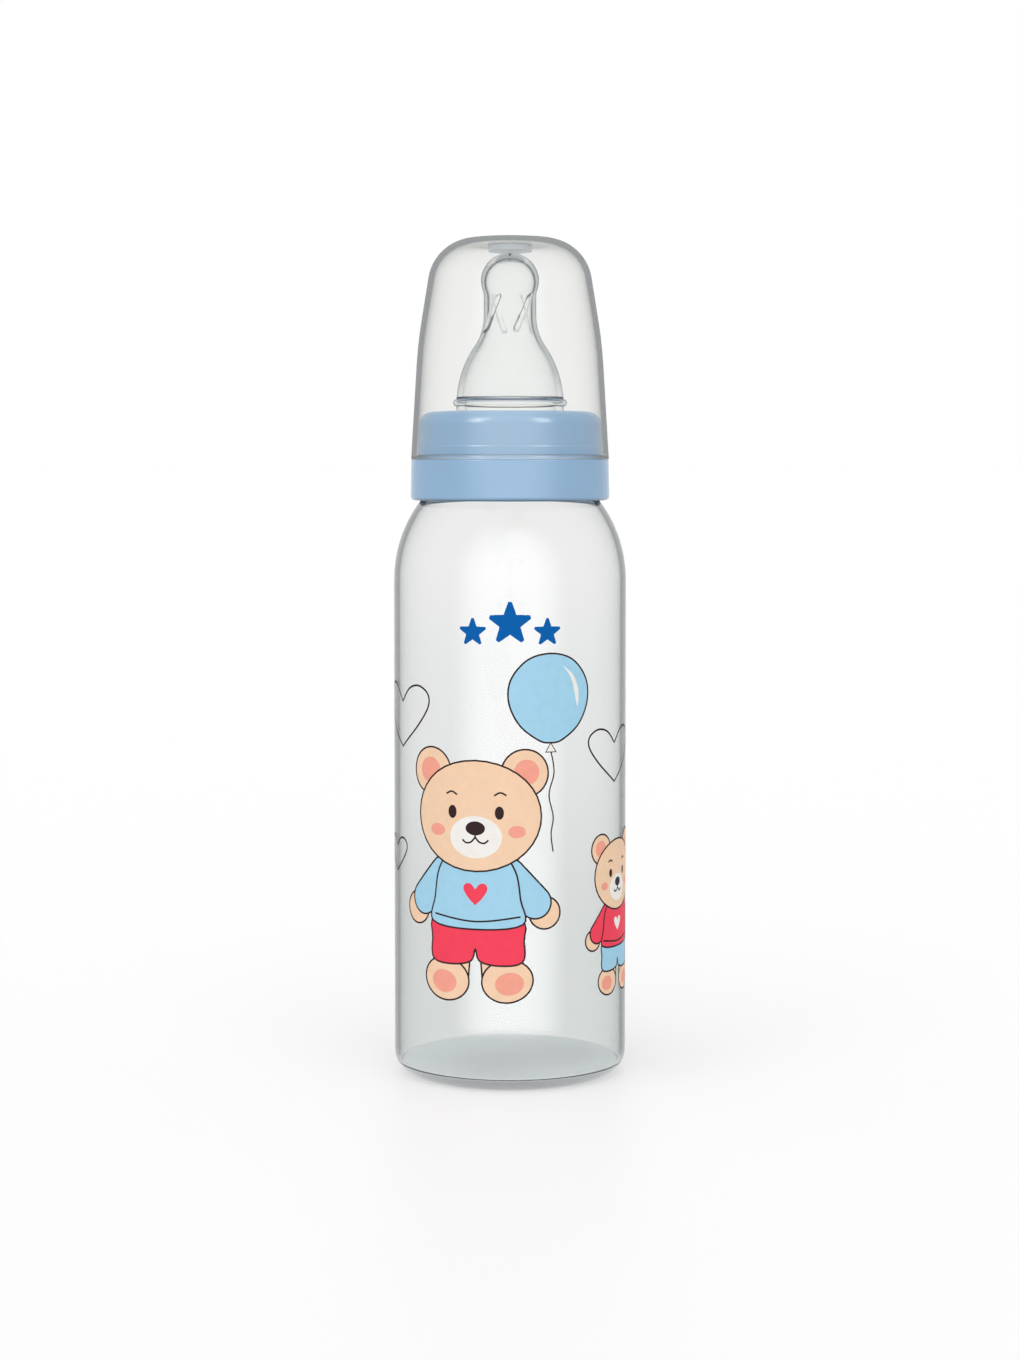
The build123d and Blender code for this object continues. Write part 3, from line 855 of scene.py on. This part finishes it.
def teddy(at, scale, jumper, shorts):
    """A plain toy bear that stands facing forward. at is the point between its feet."""

    def spot(x, z):
        return (at[0] + x * scale, at[1] + z * scale)

    def egg(x, z, across, up, tilt=0.0):
        return oval(spot(x, z), across * scale, up * scale, tilt)

    for side in (-1, 1):
        inked("tan", 0, capsule(spot(5.4 * side, 13), spot(6.6 * side, 6.0), 4.4 * scale, 5.0 * scale))
        inked("tan", 2, egg(7.4 * side, 4.9, 5.9, 4.9, 8 * side))
        fill("blush", 3, egg(7.9 * side, 4.3, 3.3, 2.6, 8 * side))
        inked("tan", 0, egg(16.0 * side, 20.4, 3.7, 3.7))
        inked(jumper, 2, capsule(spot(8.0 * side, 29.5), spot(13.8 * side, 22.8), 3.4 * scale, 3.7 * scale))
        inked("tan", 4, egg(11.4 * side, 52.2, 5.4, 5.4))
        fill("blush", 5, egg(11.8 * side, 52.4, 2.9, 2.9))
    hips = [(-9.6, 19.5), (9.6, 19.5), (11.2, 13.8), (10.8, 9.2), (5.6, 8.4), (1.0, 9.4)]
    hips += [(0, 12.2), (-1.0, 9.4), (-5.6, 8.4), (-10.8, 9.2), (-11.2, 13.8)]
    inked(shorts, 4, flowing([spot(*p) for p in hips], steps=4))
    chest = [(-5.6, 33.5), (5.6, 33.5), (9.2, 30.0), (10.4, 23.5), (10.9, 17.8), (0, 16.6), (-10.9, 17.8)]
    chest += [(-10.4, 23.5), (-9.2, 30.0)]
    inked(jumper, 6, flowing([spot(*p) for p in chest], steps=5))
    hem = [(-10.4, 19.6), (0, 18.4), (10.4, 19.6)]
    line(7, flowing([spot(*p) for p in hem], closed=False), closed=False)
    badge = heart(spot(0, 24.6), 5.6 * scale, 5.0 * scale)
    fill("red" if jumper != "red" else "cream", 7, badge)
    inked("tan", 8, egg(0, 42.4, 15.2, 12.6))
    fill("cream", 9, egg(0, 37.6, 6.2, 4.8))
    for side in (-1, 1):
        fill("line", 9, egg(5.6 * side, 43.2, 1.05, 1.5))
        fill("blush", 9, egg(9.6 * side, 38.9, 2.0, 1.4))
        brow = [(4.4 * side, 47.1), (5.8 * side, 47.8), (7.2 * side, 47.2)]
        line(9, flowing([spot(*p) for p in brow], closed=False), closed=False)
        smile = [(0, 37.6), (1.0 * side, 36.5), (2.2 * side, 36.3), (3.1 * side, 37.0)]
        line(10, flowing([spot(*p) for p in smile], closed=False), closed=False)
    fill("line", 10, egg(0, 39.6, 2.3, 1.6))
    line(10, [spot(0, 38.4), spot(0, 37.6)], closed=False)


def balloon(centre):
    """A balloon with its glint, knot and loose string."""
    x, z = centre
    skin = [(0, 10.0), (5.4, 8.6), (9.2, 4.2), (9.7, -1.0), (7.2, -6.2), (2.8, -9.6), (0, -10.2)]
    skin += [(-2.8, -9.6), (-7.2, -6.2), (-9.7, -1.0), (-9.2, 4.2), (-5.4, 8.6)]
    inked("light_blue", 0, flowing([(x + a, z + b) for a, b in skin], steps=6))
    glint = [(3.0, 7.2), (5.8, 4.8), (7.1, 1.4), (6.9, -2.2), (6.3, -0.2), (5.6, 3.0), (4.6, 5.2)]
    fill("cream", 2, flowing([(x + a, z + b) for a, b in glint], steps=5))
    knot = [(x, z - 10.2), (x - 1.2, z - 12.3), (x + 1.3, z - 12.3)]
    inked("cream", 0, knot)
    string = [(0.1, -12.3), (0.8, -17), (-0.4, -22), (0.6, -27), (0.1, -31), (0.6, -35)]
    line(1, flowing([(x + a, z + b) for a, b in string], closed=False), closed=False, width=0.32)


def on_body(across, height, depth):
    """A printed point on the round body: across from the front centre line, and out by depth."""
    turn = across / BODY_RADIUS
    radius = (INK_ON + depth) * MM
    return (radius * math.sin(turn), -radius * math.cos(turn), height * MM)


def film_mesh(colour):
    """All the ink of one colour, as closed films."""
    whole = bmesh.new()
    for layer, shapes in films[colour]:
        part = bmesh.new()
        for shape in shapes:
            part.faces.new([part.verts.new((x, 0, z)) for x, z in shape])
        bmesh.ops.remove_doubles(part, verts=part.verts, dist=1e-5)
        low = min(v.co.x for v in part.verts)
        high = max(v.co.x for v in part.verts)
        for k in range(math.ceil(low / INK_STEP), math.ceil(high / INK_STEP)):
            everything = part.verts[:] + part.edges[:] + part.faces[:]
            bmesh.ops.bisect_plane(part, geom=everything, plane_co=(k * INK_STEP, 0, 0), plane_no=(1, 0, 0))
        bmesh.ops.triangulate(part, faces=part.faces)
        under = part.verts[:]
        made = bmesh.ops.extrude_face_region(part, geom=part.faces[:])["geom"]
        over = {v for v in made if isinstance(v, bmesh.types.BMVert)}
        for vert in under:
            vert.co = on_body(vert.co.x, vert.co.z, layer * INK_LAYER)
        for vert in over:
            vert.co = on_body(vert.co.x, vert.co.z, layer * INK_LAYER + INK_THICK)
        bmesh.ops.recalc_face_normals(part, faces=part.faces)
        data = bpy.data.meshes.new("film")
        part.to_mesh(data)
        part.free()
        whole.from_mesh(data)
        bpy.data.meshes.remove(data)
    data = bpy.data.meshes.new(f"print_{colour}")
    whole.to_mesh(data)
    whole.free()
    return data


def make_print():
    """Places are across from the front centre line and up from the table."""
    balloon((9.4, 90.2))
    teddy((-8.0, 21.0), 1.0, "light_blue", "red")
    teddy((31.5, 20.6), 0.65, "red", "light_blue")
    for centre, width, height in [((-31, 85), 21, 14.5), ((-35, 52.5), 12, 8), ((29.5, 76), 19.5, 12.5)]:
        line(0, heart(centre, width, height), width=0.45)
    for centre, radius in [((0, 107), 5.2), ((-8.6, 105), 3.4), ((8.6, 105), 3.4)]:
        fill("navy", 0, star(centre, radius))
    for colour, tone in INK.items():
        piece = bpy.data.objects.new(f"print_{colour}", film_mesh(colour))
        bpy.context.collection.objects.link(piece)
        piece.data.materials.append(ink_material(f"ink_{colour}", tone))
        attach(piece, "bottle")


# ---- studio ---------------------------------------------------------------------------------------
CAMERA_AT = Vector((0, -0.653, 0.14485))
CAMERA_PITCH = 2.94  # degrees down
CAMERA_LENS = 73.85  # millimetres, with 36 mm along the picture's long side
CAMERA_SHIFT = -0.06  # of that side


def make_camera():
    camera = bpy.data.objects.new("camera", bpy.data.cameras.new("camera"))
    camera.data.lens = CAMERA_LENS
    camera.data.sensor_width = 36
    camera.data.shift_y = CAMERA_SHIFT
    camera.location = CAMERA_AT
    camera.rotation_euler = (math.radians(90 - CAMERA_PITCH), 0, 0)
    bpy.context.collection.objects.link(camera)
    bpy.context.scene.camera = camera


def make_floor():
    """A wide pale floor, just under the foot, so that the two faces don't lie in one plane."""
    half, low = 30.0, -2e-5
    data = bpy.data.meshes.new("studio_floor")
    corners = [(-half, -half, low), (half, -half, low), (half, half, low), (-half, half, low)]
    data.from_pydata(corners, [], [(0, 1, 2, 3)])
    floor = bpy.data.objects.new("studio_floor", data)
    bpy.context.collection.objects.link(floor)
    tree = Tree("white_acrylic")
    shader = tree.add("BsdfPrincipled", Base_Color=(0.93, 0.93, 0.93, 1), Roughness=0.5)
    shader.inputs["Specular IOR Level"].default_value = 0.25
    data.materials.append(tree.finish(shader.outputs[0]))
    floor.visible_glossy = floor.visible_transmission = False  # like a table lit from below


ROOM_LIGHT = 1.0
ROOM_FILL = 0.62  # what matt surfaces get of the room
FRONT_PANEL = 4.5  # a wide soft panel in front, which only shows as a reflection
PANEL_SIDES = (0.48, 1.0)  # how far forward a direction points, from the panel's edge to its full light
PANEL_TOP = (0.95, 0.6)  # how far up a direction points, from the panel's edge to its full light
PANEL_FOOT = (-0.2065, -0.2025)  # the same, at its sharp lower edge
PANEL_GLOW = (-0.2, -0.06, 1.55, 1.0)  # the panel is brighter low down: heights, and the light at each


def make_world():
    """White all round, with a soft bright panel in front for shiny surfaces."""
    world = bpy.data.worlds.new("studio")
    world.use_nodes = True
    nodes, link = world.node_tree.nodes, world.node_tree.links.new

    def worked_out(operation, a, b):
        node = nodes.new("ShaderNodeMath")
        node.operation = operation
        for socket, value in zip(node.inputs, (a, b)):
            if isinstance(value, bpy.types.NodeSocket):
                link(value, socket)
            else:
                socket.default_value = value
        return node.outputs[0]

    def ramp(value, start, end, first=0.0, last=1.0):
        node = nodes.new("ShaderNodeMapRange")
        node.interpolation_type = "SMOOTHSTEP"
        link(value, node.inputs["Value"])
        for key, number in zip(("From Min", "From Max", "To Min", "To Max"), (start, end, first, last)):
            node.inputs[key].default_value = number
        return node.outputs["Result"]

    way = nodes.new("ShaderNodeSeparateXYZ")
    link(nodes.new("ShaderNodeTexCoord").outputs["Generated"], way.inputs[0])
    forward = worked_out("MULTIPLY", way.outputs["Y"], -1)
    panel = ramp(forward, *PANEL_SIDES)
    for height_and_light in (PANEL_TOP, PANEL_GLOW, PANEL_FOOT):
        panel = worked_out("MULTIPLY", panel, ramp(way.outputs["Z"], *height_and_light))
    rays = nodes.new("ShaderNodeLightPath").outputs
    mirrored = worked_out("MULTIPLY", rays["Is Reflection Ray"], rays["Is Glossy Ray"])
    shine = worked_out("MULTIPLY", worked_out("MULTIPLY", panel, mirrored), FRONT_PANEL)
    loss = worked_out("MULTIPLY", rays["Is Diffuse Ray"], ROOM_FILL - ROOM_LIGHT)
    strength = worked_out("ADD", worked_out("ADD", ROOM_LIGHT, loss), shine)
    link(strength, nodes["Background"].inputs["Strength"])
    nodes["Background"].inputs["Color"].default_value = (1, 1, 1, 1)
    bpy.context.scene.world = world


def make_highlights(ring):
    """Two soft boxes high in front, one on each side, which only draw highlights on the ring."""
    only_ring = bpy.data.collections.new("lit_by_highlights")
    only_ring.objects.link(ring)
    looked_at = Vector((0, 0, 0.15))
    for side in (-1, 1):
        light = bpy.data.lights.new(f"highlight_{side}", "AREA")
        light.shape = "RECTANGLE"
        light.size, light.size_y = 0.3, 0.6
        light.energy = 10.0
        lamp = bpy.data.objects.new(light.name, light)
        lamp.location = (0.56 * side, -0.57, 0.66)
        lamp.rotation_mode = "QUATERNION"
        lamp.rotation_quaternion = (looked_at - lamp.location).to_track_quat("-Z", "Y")
        lamp.visible_diffuse = False
        lamp.light_linking.receiver_collection = only_ring
        bpy.context.collection.objects.link(lamp)


def make_top_light():
    """A very soft light from above and a little in front, which shows in no reflection."""
    sun = bpy.data.lights.new("top_light", "SUN")
    sun.energy = 1.5
    sun.angle = math.radians(60)
    lamp = bpy.data.objects.new("top_light", sun)
    lamp.rotation_euler = (math.radians(28), 0, math.radians(-10))
    lamp.visible_glossy = lamp.visible_transmission = False
    bpy.context.collection.objects.link(lamp)


def make_studio(ring):
    make_camera()
    make_world()
    make_floor()
    make_top_light()
    make_highlights(ring)
    bpy.context.scene.view_settings.view_transform = "Standard"


made_ring = make_pieces()
make_print()
make_studio(made_ring)
